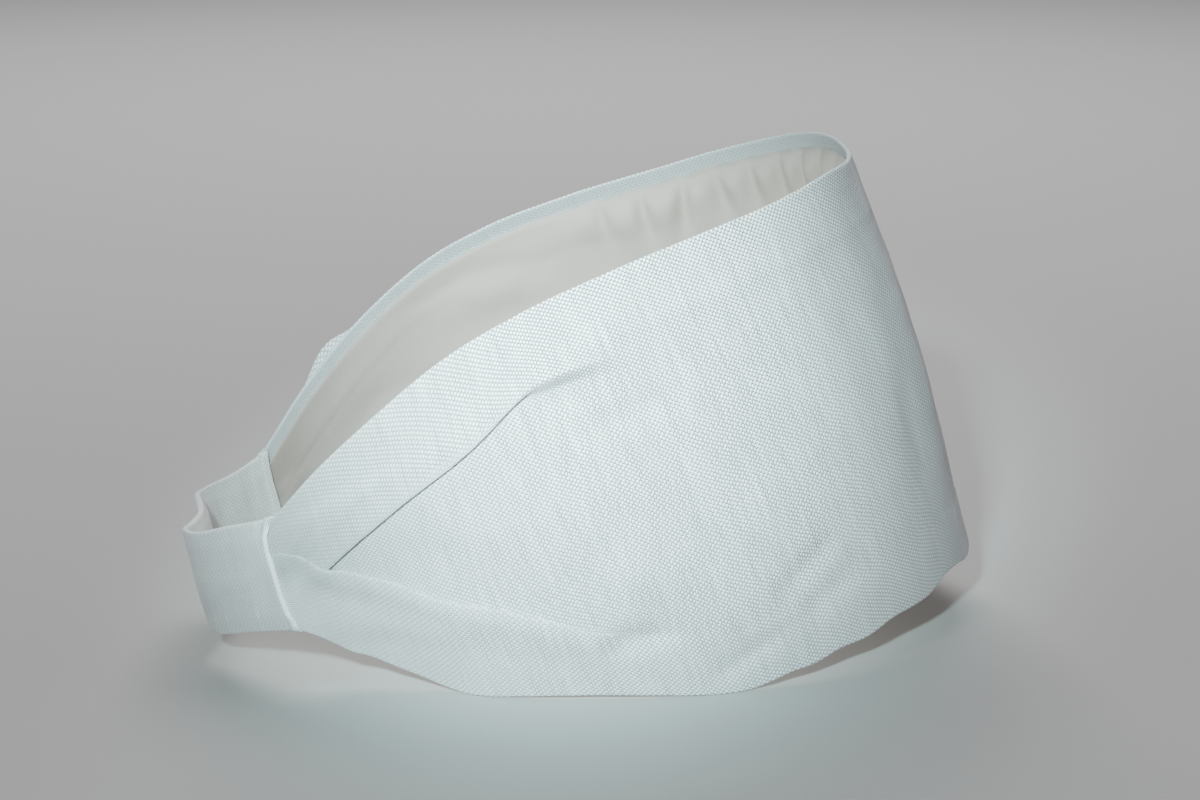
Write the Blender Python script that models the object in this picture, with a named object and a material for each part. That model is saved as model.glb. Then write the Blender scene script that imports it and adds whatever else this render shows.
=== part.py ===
"""Wide linen headband standing on its lower edge.

One closed loop: a tall linen panel whose two ends are tucked down to a narrow band, a cotton lining
inside it, and a short flat casing round the elastic at the back of the head.
The front of the head is at +X and its right side at -Y, and Z = 0 is the surface the loop stands on.
"""
import math
from collections import namedtuple

import bpy
import numpy as np

MM = 0.001

# Cloth thicknesses, and the gap between two pieces that touch
PANEL_WALL = 1.2 * MM
HEM_WALL = 0.9 * MM
HEM_WIDTH = 6.0 * MM
RIM_ROUNDING = 0.5 * MM
LINING_WALL = 0.9 * MM
FIT_GAP = 0.3 * MM

# The tucks that narrow each end of the panel: how far their edges stand up, and where they fade out,
# as shares of the panel's length from its nearer end
TUCK_LAYER = 0.8 * MM
TUCK_STEP = 0.5 * MM
TUCK_ROLL = 3.0 * MM
TUCK_CREST = 0.75
LEAST_VALLEY = 1.5 * MM
TUCK_FADE_START = 0.18
TUCK_FADE_END = 0.25

# A soft hollow in the panel just in front of each end: shares of the panel's length and height
HOLLOW_DEPTH = 1.4 * MM
HOLLOW_PLACE = 0.035
HOLLOW_SPREAD = 0.022
HOLLOW_HEIGHT = 0.55
HOLLOW_HEIGHT_SPREAD = 0.22

# Puckers of the lining below its top edge, where it is gathered round the front
PUCKER_HEIGHT = 1.1 * MM
PUCKER_PITCH = 11.0 * MM
PUCKER_REACH = 45.0 * MM
PUCKER_PLACE = 0.56
PUCKER_SPREAD = 0.13

# The narrow tongue at each end of the panel, held in a slot of the casing
TONGUE_LENGTH = 6.0 * MM
TONGUE_THICKNESS = 1.6 * MM
TONGUE_INSET = 2.4 * MM
SLOT_OVERRUN = 1.0 * MM

# The casing round the elastic, and the folded edge that stands up round each of its mouths
CASING_SEAT = -0.65 * MM
CASING_THICKNESS = 3.2 * MM
MOUTH_THICKNESS = 4.0 * MM
MOUTH_FLARE = 9.0 * MM
CASING_ROUNDING = 0.9 * MM
FOLDED_EDGE_WIDTH = 1.5 * MM
FOLDED_EDGE_FALL = 0.7 * MM
FOLDED_EDGE_HEIGHT = 0.5 * MM
GATHER_HEIGHT = 0.15 * MM
GATHER_PITCH = 9.0 * MM

# How finely the walls are divided
PANEL_STATIONS = 81
FRONT_CROWDING = 0.06
CASING_STATIONS = 41
BAND_POINTS = 3
VALLEY_POINTS = 3
INNER_POINTS = 6
SHARP_ANGLE = math.radians(35.0)

PanelRow = namedtuple("PanelRow", "rim_x rim_y rim_z foot_x foot_y foot_z belly high_fold low_fold")

# Outer face of the panel in millimetres, from the near end round the front to the far end:
# a point on the top rim, the point below it on the bottom rim, how far the wall swells between them,
# and the edges of the two tucks, the high one below the top rim and the low one above the bottom rim
PANEL_ROWS = [
    PanelRow(-91.3, -42.0, 49.7, -85.0, -41.5, 16.2, 0.0, 25.5, 23.6),
    PanelRow(-80.0, -48.5, 64.3, -69.0, -43.2, 8.8, 2.0, 26.0, 28.2),
    PanelRow(-66.0, -53.5, 78.8, -52.5, -48.8, 3.1, 4.0, 26.2, 31.2),
    PanelRow(-48.0, -56.8, 94.8, -34.0, -57.0, 0.0, 6.0, 26.3, 29.2),
    PanelRow(-25.0, -55.0, 107.8, -4.0, -62.4, 0.0, 7.0, 19.8, 20.8),
    PanelRow(1.0, -51.0, 118.0, 26.0, -64.2, 0.0, 6.0, 23.5, 17.5),
    PanelRow(26.0, -46.0, 126.2, 56.5, -58.0, 4.4, 5.0, 23.5, 17.0),
    PanelRow(48.0, -39.3, 133.2, 83.0, -44.5, 9.8, 4.4, 23.5, 17.0),
    PanelRow(64.0, -27.0, 138.0, 103.0, -28.0, 13.6, 3.8, 23.5, 17.0),
    PanelRow(73.5, -12.0, 138.8, 114.5, -12.5, 16.2, 3.2, 23.5, 17.0),
    PanelRow(76.6, 2.0, 139.4, 117.8, 0.0, 16.8, 3.0, 23.5, 17.0),
    PanelRow(75.4, 14.0, 140.6, 114.5, 12.5, 16.2, 3.2, 23.5, 17.0),
    PanelRow(69.5, 27.5, 139.6, 103.0, 28.0, 13.6, 3.8, 23.5, 17.0),
    PanelRow(50.0, 39.5, 133.8, 83.0, 44.5, 9.8, 4.4, 23.5, 17.0),
    PanelRow(26.0, 46.0, 126.0, 56.5, 58.0, 4.4, 5.0, 23.5, 17.0),
    PanelRow(1.0, 51.0, 117.8, 26.0, 64.2, 0.0, 6.0, 23.5, 17.5),
    PanelRow(-25.0, 55.0, 107.4, -4.0, 62.4, 0.0, 7.0, 19.8, 20.8),
    PanelRow(-48.0, 57.0, 93.6, -34.0, 57.0, 0.0, 6.0, 26.3, 29.2),
    PanelRow(-67.0, 54.5, 76.8, -52.5, 48.8, 3.1, 4.0, 26.2, 31.2),
    PanelRow(-82.0, 48.0, 60.9, -69.0, 43.2, 8.0, 2.0, 26.0, 28.2),
    PanelRow(-95.0, 37.5, 44.2, -88.2, 37.2, 10.4, 0.0, 25.5, 23.6),
]

CasingRow = namedtuple("CasingRow", "top_x top_y top_z foot_x foot_y foot_z")

# Middle surface of the casing in millimetres, from the far mouth round the back to the near mouth
CASING_ROWS = [
    CasingRow(-95.0, 37.5, 43.2, -88.3, 37.2, 9.8),
    CasingRow(-105.8, 28.3, 39.0, -99.2, 28.0, 7.3),
    CasingRow(-113.2, 21.8, 37.7, -106.6, 21.6, 6.6),
    CasingRow(-115.6, 18.0, 37.4, -108.9, 18.0, 6.4),
    CasingRow(-115.0, 11.0, 37.5, -108.2, 11.0, 6.8),
    CasingRow(-114.0, 0.0, 37.8, -107.1, 0.0, 7.2),
    CasingRow(-116.0, -11.0, 38.4, -109.6, -11.0, 7.8),
    CasingRow(-117.4, -18.2, 39.1, -111.0, -18.2, 8.0),
    CasingRow(-115.2, -22.2, 39.5, -108.9, -22.0, 8.3),
    CasingRow(-104.6, -31.5, 44.0, -98.2, -31.2, 12.0),
    CasingRow(-91.3, -42.0, 49.7, -85.0, -41.5, 16.2),
]


def smooth_step(value):
    """0 below zero, 1 above one, and an even S between."""
    part = min(max(value, 0.0), 1.0)
    return part * part * (3.0 - 2.0 * part)


def hump(value, spread):
    """A single bell of height 1 round zero."""
    return math.exp(-((value / spread) ** 2))


def unit(vector):
    return vector / np.linalg.norm(vector)


def table_length(rows):
    """Length of a table's middle line, and the share of it at which each row stands."""
    table = np.array(rows, dtype=float)
    middles = (table[:, :3] + table[:, 3:6]) / 2.0
    lengths = np.linalg.norm(np.diff(middles, axis=0), axis=1)
    return lengths.sum(), np.concatenate([[0.0], np.cumsum(lengths)]) / lengths.sum()


def smooth_rows(rows, shares):
    """The table read at these shares of its length, along a smooth curve through its rows."""
    table = np.array(rows, dtype=float)
    knots = table_length(rows)[1]
    spans = np.diff(knots)
    slopes = np.diff(table, axis=0) / spans[:, None]
    before, after = spans[:-1, None], spans[1:, None]
    inner = (slopes[:-1] * after + slopes[1:] * before) / (before + after)
    tangents = np.vstack([slopes[:1], inner, slopes[-1:]])
    span = np.clip(np.searchsorted(knots, shares, side="right") - 1, 0, len(spans) - 1)
    reach = spans[span][:, None]
    part = (shares - knots[span])[:, None] / reach
    return (
        (2.0 * part**3 - 3.0 * part**2 + 1.0) * table[span]
        + (part**3 - 2.0 * part**2 + part) * reach * tangents[span]
        + (3.0 * part**2 - 2.0 * part**3) * table[span + 1]
        + (part**3 - part**2) * reach * tangents[span + 1]
    )


class Wall:
    """Upright sections of cloth, read by distance below the rim and by height off the outer face."""

    def __init__(self, rows, shares):
        table = smooth_rows(rows, shares) * MM
        self.shares = shares
        self.length = table_length(rows)[0] * MM
        self.rims = table[:, :3]
        self.feet = table[:, 3:6]
        self.feet[:, 2] = np.maximum(self.feet[:, 2], 0.0)
        self.bellies, self.high_folds, self.low_folds = np.zeros((3, len(shares)))
        if table.shape[1] > 6:
            self.bellies, self.high_folds, self.low_folds = table[:, 6:9].T
        self.heights = np.linalg.norm(self.feet - self.rims, axis=1)
        self.down = (self.feet - self.rims) / self.heights[:, None]
        along = np.gradient((self.rims + self.feet) / 2.0, axis=0)
        outward = np.cross(self.down, along)
        self.outward = outward / np.linalg.norm(outward, axis=1)[:, None]

    def end_share(self, station):
        """How far this station is from the nearer end, as a share of the wall's length."""
        return min(self.shares[station], 1.0 - self.shares[station])

    def hollow(self, station, below):
        """How far the whole panel is pressed in at this place."""
        across = hump(below / self.heights[station] - HOLLOW_HEIGHT, HOLLOW_HEIGHT_SPREAD)
        return HOLLOW_DEPTH * hump(self.end_share(station) - HOLLOW_PLACE, HOLLOW_SPREAD) * across

    def point(self, station, below, proud):
        """The point this far below the rim and this far outside the face."""
        part = below / self.heights[station]
        swell = self.bellies[station] * 4.0 * part * (1.0 - part)
        if self.bellies.any():
            swell -= self.hollow(station, below)
        return self.rims[station] + self.down[station] * below + self.outward[station] * (proud + swell)


class Mouth:
    """An end of the casing: its middle, and the ways into the casing, down the mouth and out of the cloth."""

    def __init__(self, end_row, next_row, turn):
        end = np.array(end_row[:6]) * MM
        following = np.array(next_row[:6]) * MM
        self.height = np.linalg.norm(end[3:6] - end[:3])
        self.down = unit(end[3:6] - end[:3])
        into = (following[:3] + following[3:6] - end[:3] - end[3:6]) / 2.0
        self.into = unit(into - self.down * np.dot(into, self.down))
        self.outward = unit(np.cross(self.down, self.into)) * turn
        self.middle = (end[:3] + end[3:6]) / 2.0 + self.outward * CASING_SEAT

    def tongue_ring(self, outer_count, inner_count, depth):
        """A flat ring of the tongue at this depth, its points shared between the outer and inner faces."""
        half_height = self.height / 2.0 - TONGUE_INSET
        centre = self.middle + self.into * depth
        half_wall = self.outward * TONGUE_THICKNESS / 2.0
        drops = np.linspace(-half_height, half_height, outer_count)
        rises = np.linspace(half_height, -half_height, inner_count)
        outer = [centre + self.down * drop + half_wall for drop in drops]
        inner = [centre + self.down * drop - half_wall for drop in rises]
        return outer + inner


def spread(start, end, count):
    """Even steps from start to end, without the start itself."""
    return [start + (end - start) * k / count for k in range(1, count + 1)]


def tuck_strength(wall, station):
    """1 where the tucks are sewn down at an end of the panel, 0 where they have opened out."""
    way = (wall.end_share(station) - TUCK_FADE_START) / (TUCK_FADE_END - TUCK_FADE_START)
    return 1.0 - smooth_step(way)


def outer_places(wall, station):
    """Places down the outer face: upper tuck, valley and lower tuck, as distance below the rim and height."""
    height = wall.heights[station]
    layer = TUCK_LAYER * tuck_strength(wall, station)
    low_edge = height - wall.low_folds[station]
    high_edge = min(wall.high_folds[station], low_edge - LEAST_VALLEY)
    valley_start = high_edge + TUCK_STEP
    valley_end = low_edge - TUCK_STEP
    roll_end = low_edge + TUCK_ROLL
    places = [(0.0, layer - RIM_ROUNDING), (RIM_ROUNDING, layer)]
    places += [(below, layer) for below in spread(RIM_ROUNDING, high_edge, BAND_POINTS)]
    places += [(valley_start, 0.0)]
    places += [(below, 0.0) for below in spread(valley_start, valley_end, VALLEY_POINTS)]
    places += [(low_edge, TUCK_CREST * layer), (roll_end, layer)]
    places += [(below, layer) for below in spread(roll_end, height - RIM_ROUNDING, BAND_POINTS)]
    return places + [(height, layer - RIM_ROUNDING)]


def inner_places(height):
    """Places up the inner face: bottom hem, the recess for the lining, and top hem."""
    back = -(PANEL_WALL + HEM_WALL)
    places = [(height, back + RIM_ROUNDING), (height - RIM_ROUNDING, back), (height - HEM_WIDTH, back)]
    places += [(height - HEM_WIDTH, -PANEL_WALL)]
    places += [(below, -PANEL_WALL) for below in spread(height - HEM_WIDTH, HEM_WIDTH, INNER_POINTS)]
    return places + [(HEM_WIDTH, back), (RIM_ROUNDING, back), (0.0, back + RIM_ROUNDING)]


def panel_ring(wall, station):
    """One closed section of the panel, flat underneath where it stands on its bottom rim."""
    height = wall.heights[station]
    places = outer_places(wall, station) + inner_places(height)
    ring = []
    for below, proud in places:
        point = wall.point(station, below, proud)
        if below == height and wall.feet[station][2] < RIM_ROUNDING:
            point[2] = wall.feet[station][2]
        ring.append(point)
    return ring


def loft(name, rings):
    """A closed solid through rings of equally many points, capped at both ends."""
    size = len(rings[0])
    points = [tuple(point) for ring in rings for point in ring]
    faces = []
    for row in range(0, (len(rings) - 1) * size, size):
        for k in range(size):
            following = (k + 1) % size
            faces.append((row + k, row + following, row + size + following, row + size + k))
    last = (len(rings) - 1) * size
    faces.append(tuple(reversed(range(size))))
    faces.append(tuple(range(last, last + size)))
    mesh = bpy.data.meshes.new(name)
    mesh.from_pydata(points, [], faces)
    mesh.validate()
    mesh.shade_smooth()
    mesh.set_sharp_from_angle(angle=SHARP_ANGLE)
    return mesh


def add_piece(name, mesh, material, collection):
    piece = bpy.data.objects.new(name, mesh)
    mesh.materials.append(material)
    collection.objects.link(piece)
    return piece


def cloth_material(name, colour, roughness):
    material = bpy.data.materials.new(name)
    material.use_nodes = True
    shader = material.node_tree.nodes["Principled BSDF"]
    shader.inputs["Base Color"].default_value = (*colour, 1.0)
    shader.inputs["Roughness"].default_value = roughness
    shader.inputs["Metallic"].default_value = 0.0
    return material


def panel_shares():
    """Stations along the panel, crowded towards the tight turn at the front."""
    even = np.linspace(0.0, 1.0, PANEL_STATIONS)
    return even + FRONT_CROWDING * np.sin(2.0 * math.pi * even)


def make_panel(wall, near_mouth, far_mouth, material, collection):
    """The outer linen with its turned-in hems, its tucks and the tongues that the casing holds."""
    wall.outward[0] = near_mouth.outward
    wall.outward[-1] = far_mouth.outward
    rings = [panel_ring(wall, station) for station in range(PANEL_STATIONS)]
    for ring, mouth in ((rings[0], near_mouth), (rings[-1], far_mouth)):
        ring[:] = [point - mouth.into * 2.0 * FIT_GAP for point in ring]
    outer = len(outer_places(wall, 0))
    inner = len(rings[0]) - outer
    near_end = [near_mouth.tongue_ring(outer, inner, depth) for depth in (TONGUE_LENGTH, -FIT_GAP)]
    far_end = [far_mouth.tongue_ring(outer, inner, depth) for depth in (-FIT_GAP, TONGUE_LENGTH)]
    return add_piece("linen_panel", loft("linen_panel", near_end + rings + far_end), material, collection)


def pucker(wall, station, below):
    """How far the lining stands off the panel: small upright folds under its top edge round the front."""
    front = hump(wall.shares[station] - PUCKER_PLACE, PUCKER_SPREAD)
    fade = 1.0 - smooth_step((below - HEM_WIDTH) / PUCKER_REACH)
    wave = 0.5 + 0.5 * math.cos(2.0 * math.pi * wall.shares[station] * wall.length / PUCKER_PITCH)
    return PUCKER_HEIGHT * front * fade * wave


def lining_ring(wall, station):
    """One closed section of the lining, which lies between the two hems of the panel."""
    top = HEM_WIDTH + FIT_GAP
    bottom = wall.heights[station] - top
    levels = [top] + spread(top, bottom, INNER_POINTS)
    face = -(PANEL_WALL + FIT_GAP)
    outer = [wall.point(station, below, face) for below in levels]
    inner = [wall.point(station, below, face - LINING_WALL - pucker(wall, station, below))
             for below in reversed(levels)]
    return outer + inner


def make_lining(wall, material, collection):
    """The cotton that covers the inside of the panel from hem to hem."""
    rings = [lining_ring(wall, station) for station in range(1, PANEL_STATIONS - 1)]
    return add_piece("cotton_lining", loft("cotton_lining", rings), material, collection)


def casing_thickness(distance):
    """Thickness of the casing this far from its nearer mouth, with the folded edge round the mouth."""
    flare = (MOUTH_THICKNESS - CASING_THICKNESS) * (1.0 - smooth_step(distance / MOUTH_FLARE))
    edge = 1.0 - smooth_step((distance - FOLDED_EDGE_WIDTH) / FOLDED_EDGE_FALL)
    return CASING_THICKNESS + flare + 2.0 * FOLDED_EDGE_HEIGHT * edge


def casing_ring(wall, station):
    """One closed section of the casing: a flat tube with soft edges, ruffled a little by the elastic."""
    distance = wall.end_share(station) * wall.length
    half = casing_thickness(distance) / 2.0
    ruffle = GATHER_HEIGHT * math.sin(2.0 * math.pi * wall.shares[station] * wall.length / GATHER_PITCH)
    ruffle *= smooth_step(distance / MOUTH_FLARE)
    height = wall.heights[station]
    drops = [CASING_ROUNDING] + spread(CASING_ROUNDING, height - CASING_ROUNDING, VALLEY_POINTS + 1)
    face = [(below, half + ruffle) for below in drops]
    back = [(below, -half) for below in reversed(drops)]
    outer_edge, inner_edge = half - CASING_ROUNDING, CASING_ROUNDING - half
    places = [(0.0, outer_edge)] + face + [(height, outer_edge), (height, inner_edge)] + back
    places += [(0.0, inner_edge)]
    return [wall.point(station, below, CASING_SEAT + proud) for below, proud in places]


def casing_shares(length):
    """Stations along the casing, with close ones where each folded edge falls away."""
    edge = FOLDED_EDGE_WIDTH / length
    fall = edge + FOLDED_EDGE_FALL / length
    middle = np.linspace(2.0 * fall, 1.0 - 2.0 * fall, CASING_STATIONS)
    return np.concatenate([[0.0, edge, fall], middle, [1.0 - fall, 1.0 - edge, 1.0]])


def add_slot_cutter(mouth, name, collection):
    """A box a little larger than the tongue, which opens the casing's mouth for it."""
    bpy.ops.mesh.primitive_cube_add(size=1.0)
    cutter = bpy.context.object
    cutter.name = name
    depth = TONGUE_LENGTH + FIT_GAP + SLOT_OVERRUN
    height = mouth.height - 2.0 * TONGUE_INSET + 2.0 * FIT_GAP
    sizes = (depth, height, TONGUE_THICKNESS + 2.0 * FIT_GAP)
    middle = mouth.middle + mouth.into * (depth / 2.0 - SLOT_OVERRUN)
    for vertex in cutter.data.vertices:
        parts = [share * size for share, size in zip(vertex.co, sizes)]
        vertex.co = middle + mouth.into * parts[0] + mouth.down * parts[1] + mouth.outward * parts[2]
    if np.dot(np.cross(mouth.into, mouth.down), mouth.outward) < 0.0:
        cutter.data.flip_normals()
    for owner in list(cutter.users_collection):
        owner.objects.unlink(cutter)
    collection.objects.link(cutter)
    cutter.hide_render = True
    cutter.display_type = "WIRE"
    return cutter


def make_casing(wall, mouths, material, collection, cutters):
    """The flat tube of linen round the elastic, with a slot in each mouth for the panel's tongue."""
    wall.outward[0] = mouths[0].outward
    wall.outward[-1] = mouths[1].outward
    rings = [casing_ring(wall, station) for station in range(len(wall.shares))]
    casing = add_piece("elastic_casing", loft("elastic_casing", rings), material, collection)
    for mouth, side in zip(mouths, ("far", "near")):
        cut = casing.modifiers.new(f"{side}_slot", "BOOLEAN")
        cut.operation = "DIFFERENCE"
        cut.solver = "EXACT"
        cut.object = add_slot_cutter(mouth, f"{side}_slot_cutter", cutters)
    return casing


def main():
    for old in list(bpy.data.objects):
        bpy.data.objects.remove(old)
    headband = bpy.data.collections.new("headband")
    cutters = bpy.data.collections.new("cutters")
    for collection in (headband, cutters):
        bpy.context.scene.collection.children.link(collection)

    panel_linen = cloth_material("panel_linen", (0.80, 0.84, 0.84), 0.9)
    lining_cotton = cloth_material("lining_cotton", (0.76, 0.75, 0.72), 0.9)
    casing_linen = cloth_material("casing_linen", (0.74, 0.78, 0.77), 0.9)

    far_mouth = Mouth(CASING_ROWS[0], CASING_ROWS[1], 1.0)
    near_mouth = Mouth(CASING_ROWS[-1], CASING_ROWS[-2], -1.0)
    wall = Wall(PANEL_ROWS, panel_shares())
    make_panel(wall, near_mouth, far_mouth, panel_linen, headband)
    make_lining(wall, lining_cotton, headband)
    casing_wall = Wall(CASING_ROWS, casing_shares(table_length(CASING_ROWS)[0] * MM))
    make_casing(casing_wall, (far_mouth, near_mouth), casing_linen, headband, cutters)


main()
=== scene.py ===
"""Wide white linen headband, standing on its lower edge on a pale studio floor.

The loop is a tall panel of plain-weave linen, tucked down at both ends into a flat casing round
the elastic, and lined inside with cotton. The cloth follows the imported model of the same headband.
"""

import logging
import math
from dataclasses import dataclass, field
from enum import Enum
from typing import Callable, NamedTuple, Sequence

import bpy
import numpy as np
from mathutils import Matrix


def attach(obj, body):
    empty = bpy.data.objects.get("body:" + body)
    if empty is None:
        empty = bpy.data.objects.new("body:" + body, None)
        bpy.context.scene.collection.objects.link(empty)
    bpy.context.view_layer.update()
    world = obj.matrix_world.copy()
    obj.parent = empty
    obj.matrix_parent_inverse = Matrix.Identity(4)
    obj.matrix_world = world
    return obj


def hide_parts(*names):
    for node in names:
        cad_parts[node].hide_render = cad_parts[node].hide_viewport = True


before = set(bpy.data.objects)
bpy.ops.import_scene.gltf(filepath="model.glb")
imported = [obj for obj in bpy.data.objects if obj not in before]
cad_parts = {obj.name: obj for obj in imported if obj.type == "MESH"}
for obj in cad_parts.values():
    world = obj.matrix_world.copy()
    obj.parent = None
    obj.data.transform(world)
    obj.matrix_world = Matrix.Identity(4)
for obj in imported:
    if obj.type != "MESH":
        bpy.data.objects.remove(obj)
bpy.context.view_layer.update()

MM = 0.001
LOG = logging.getLogger("headband")


class PanelRow(NamedTuple):
    """One upright section of the panel's outer face, in millimetres.

    rim and foot are points on the top and bottom rims, belly is how far the wall swells between
    them, and the folds are the tucks' edges: below the top rim, and above the bottom rim.
    """

    rim_x: float
    rim_y: float
    rim_z: float
    foot_x: float
    foot_y: float
    foot_z: float
    belly: float
    high_fold: float
    low_fold: float


# From the near end of the panel round the front of the head to the far end
PANEL_ROWS = tuple(PanelRow(*row) for row in (
    (-91.3, -42.0, 49.7, -85.0, -41.5, 16.2, 0.0, 25.5, 23.6),
    (-80.0, -48.5, 64.3, -69.0, -43.2, 8.8, 2.0, 26.0, 28.2),
    (-66.0, -53.5, 78.8, -52.5, -48.8, 3.1, 4.0, 26.2, 31.2),
    (-48.0, -56.8, 94.8, -34.0, -57.0, 0.0, 6.0, 26.3, 29.2),
    (-25.0, -55.0, 107.8, -4.0, -62.4, 0.0, 7.0, 19.8, 20.8),
    (1.0, -51.0, 118.0, 26.0, -64.2, 0.0, 6.0, 23.5, 17.5),
    (26.0, -46.0, 126.2, 56.5, -58.0, 4.4, 5.0, 23.5, 17.0),
    (48.0, -39.3, 133.2, 83.0, -44.5, 9.8, 4.4, 23.5, 17.0),
    (64.0, -27.0, 138.0, 103.0, -28.0, 13.6, 3.8, 23.5, 17.0),
    (73.5, -12.0, 138.8, 114.5, -12.5, 16.2, 3.2, 23.5, 17.0),
    (76.6, 2.0, 139.4, 117.8, 0.0, 16.8, 3.0, 23.5, 17.0),
    (75.4, 14.0, 140.6, 114.5, 12.5, 16.2, 3.2, 23.5, 17.0),
    (69.5, 27.5, 139.6, 103.0, 28.0, 13.6, 3.8, 23.5, 17.0),
    (50.0, 39.5, 133.8, 83.0, 44.5, 9.8, 4.4, 23.5, 17.0),
    (26.0, 46.0, 126.0, 56.5, 58.0, 4.4, 5.0, 23.5, 17.0),
    (1.0, 51.0, 117.8, 26.0, 64.2, 0.0, 6.0, 23.5, 17.5),
    (-25.0, 55.0, 107.4, -4.0, 62.4, 0.0, 7.0, 19.8, 20.8),
    (-48.0, 57.0, 93.6, -34.0, 57.0, 0.0, 6.0, 26.3, 29.2),
    (-67.0, 54.5, 76.8, -52.5, 48.8, 3.1, 4.0, 26.2, 31.2),
    (-82.0, 48.0, 60.9, -69.0, 43.2, 8.0, 2.0, 26.0, 28.2),
    (-95.0, 37.5, 44.2, -88.2, 37.2, 10.4, 0.0, 25.5, 23.6),
))


class CasingRow(NamedTuple):
    """One upright section of the casing's middle surface, in millimetres: its top and its foot."""

    top_x: float
    top_y: float
    top_z: float
    foot_x: float
    foot_y: float
    foot_z: float


# From the far mouth of the casing round the back of the head to the near mouth
CASING_ROWS = tuple(CasingRow(*row) for row in (
    (-95.0, 37.5, 43.2, -88.3, 37.2, 9.8), (-105.8, 28.3, 39.0, -99.2, 28.0, 7.3),
    (-113.2, 21.8, 37.7, -106.6, 21.6, 6.6), (-115.6, 18.0, 37.4, -108.9, 18.0, 6.4),
    (-115.0, 11.0, 37.5, -108.2, 11.0, 6.8), (-114.0, 0.0, 37.8, -107.1, 0.0, 7.2),
    (-116.0, -11.0, 38.4, -109.6, -11.0, 7.8), (-117.4, -18.2, 39.1, -111.0, -18.2, 8.0),
    (-115.2, -22.2, 39.5, -108.9, -22.0, 8.3), (-104.6, -31.5, 44.0, -98.2, -31.2, 12.0),
    (-91.3, -42.0, 49.7, -85.0, -41.5, 16.2),
))


class Crease(NamedTuple):
    """A soft crease or swelling of the panel from one place to another.

    Each end is a share of the panel's length and a distance below the rim; width is half the
    crease's width and depth is how far it presses in, or out if negative, all in millimetres.
    """

    from_share: float
    from_below: float
    to_share: float
    to_below: float
    width: float
    depth: float


# Creases that the near side shows, and a few like them that keep the front and the far side alive
PANEL_CREASES = tuple(Crease(*row) for row in (
    (0.205, 35.0, 0.262, 38.0, 3.6, 1.20), (0.178, 15.0, 0.228, 18.0, 5.0, -1.00),
    (0.172, 24.5, 0.226, 26.5, 3.8, 0.90), (0.004, 14.0, 0.012, 22.0, 5.0, 1.10),
    (0.118, 75.5, 0.126, 85.0, 2.4, 0.40), (0.078, 34.0, 0.143, 71.0, 7.0, 1.10),
    (0.200, 79.0, 0.224, 78.0, 8.0, -1.30), (0.187, 94.8, 0.228, 99.5, 3.6, 1.90),
    (0.245, 117.0, 0.292, 112.0, 3.0, 0.90), (0.292, 102.5, 0.336, 93.0, 3.0, 1.20),
    (0.305, 111.0, 0.350, 104.0, 4.0, 0.80), (0.255, 106.0, 0.300, 100.0, 8.0, -0.70),
    (0.205, 80.0, 0.245, 84.0, 9.0, -0.55), (0.385, 20.0, 0.400, 70.0, 6.0, 0.70),
    (0.418, 62.0, 0.424, 100.0, 4.5, 1.10), (0.448, 20.0, 0.452, 95.0, 6.0, -0.80),
    (0.480, 50.0, 0.474, 120.0, 6.0, 0.55), (0.530, 20.0, 0.548, 90.0, 10.0, 0.60),
    (0.600, 90.0, 0.665, 104.0, 7.0, 0.80), (0.690, 117.0, 0.745, 110.0, 3.4, 0.60),
    (0.720, 45.0, 0.785, 38.0, 8.0, 0.60), (0.785, 34.0, 0.740, 37.0, 3.0, 0.50),
    (0.885, 72.0, 0.930, 50.0, 8.0, 0.80), (0.986, 16.0, 0.996, 23.0, 5.0, 1.00),
))


class FootLift(NamedTuple):
    """How far a small wave lifts the panel's lower rim at this share of its length, in millimetres."""

    share: float
    lift: float


# The near side and the front follow the photo's outline, the far side only goes on in the same way
FOOT_LIFTS = tuple(FootLift(*row) for row in (
    (0.000, 0.0), (0.012, 0.3), (0.020, 0.1), (0.027, -0.4), (0.037, 0.3), (0.060, 0.5), (0.075, 0.2),
    (0.084, -0.2), (0.100, -0.6), (0.114, 0.0), (0.240, 0.0), (0.262, -0.8), (0.276, -0.4), (0.292, 0.6),
    (0.304, 0.4), (0.327, 1.5), (0.344, 0.6), (0.369, 1.9), (0.384, 1.4), (0.401, 1.4), (0.420, 3.6),
    (0.438, 2.7), (0.460, 0.2), (0.500, 0.8), (0.545, -0.5), (0.580, 1.0), (0.620, 0.2), (0.655, 1.2),
    (0.700, 0.0), (0.930, 0.0), (1.000, 0.0),
))


# Folds of the lining alone, on the inside of the far wall
LINING_CREASES = tuple(Crease(*row) for row in (
    (0.868, 10.0, 0.780, 16.0, 3.4, 1.30), (0.850, 20.0, 0.760, 27.0, 6.0, -1.20),
    (0.930, 24.0, 0.850, 44.0, 6.0, 1.10), (0.740, 12.0, 0.715, 34.0, 4.0, 0.90),
))


class Pucker(NamedTuple):
    """A valley between two puckers of the lining, which runs down from its top edge.

    The valley starts at a share of the panel's length and ends at another, this far down, and
    half_width is half its width; both are in millimetres.
    """

    from_share: float
    to_share: float
    reach: float
    half_width: float


PUCKERS = tuple(Pucker(*row) for row in (
    (0.724, 0.716, 26.0, 2.2), (0.691, 0.686, 30.0, 2.0), (0.656, 0.668, 34.0, 2.2),
    (0.632, 0.622, 30.0, 2.4), (0.606, 0.600, 28.0, 2.0), (0.584, 0.579, 30.0, 1.8),
    (0.565, 0.562, 28.0, 1.8), (0.542, 0.545, 28.0, 2.0), (0.518, 0.514, 26.0, 1.8),
    (0.493, 0.497, 30.0, 2.0), (0.468, 0.464, 26.0, 2.2), (0.441, 0.446, 28.0, 1.8),
    (0.414, 0.408, 24.0, 2.2),
))


class EdgeBow(NamedTuple):
    """How far the casing's mouth is drawn back at this share of its height from the top, in millimetres."""

    part: float
    back: float


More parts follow.
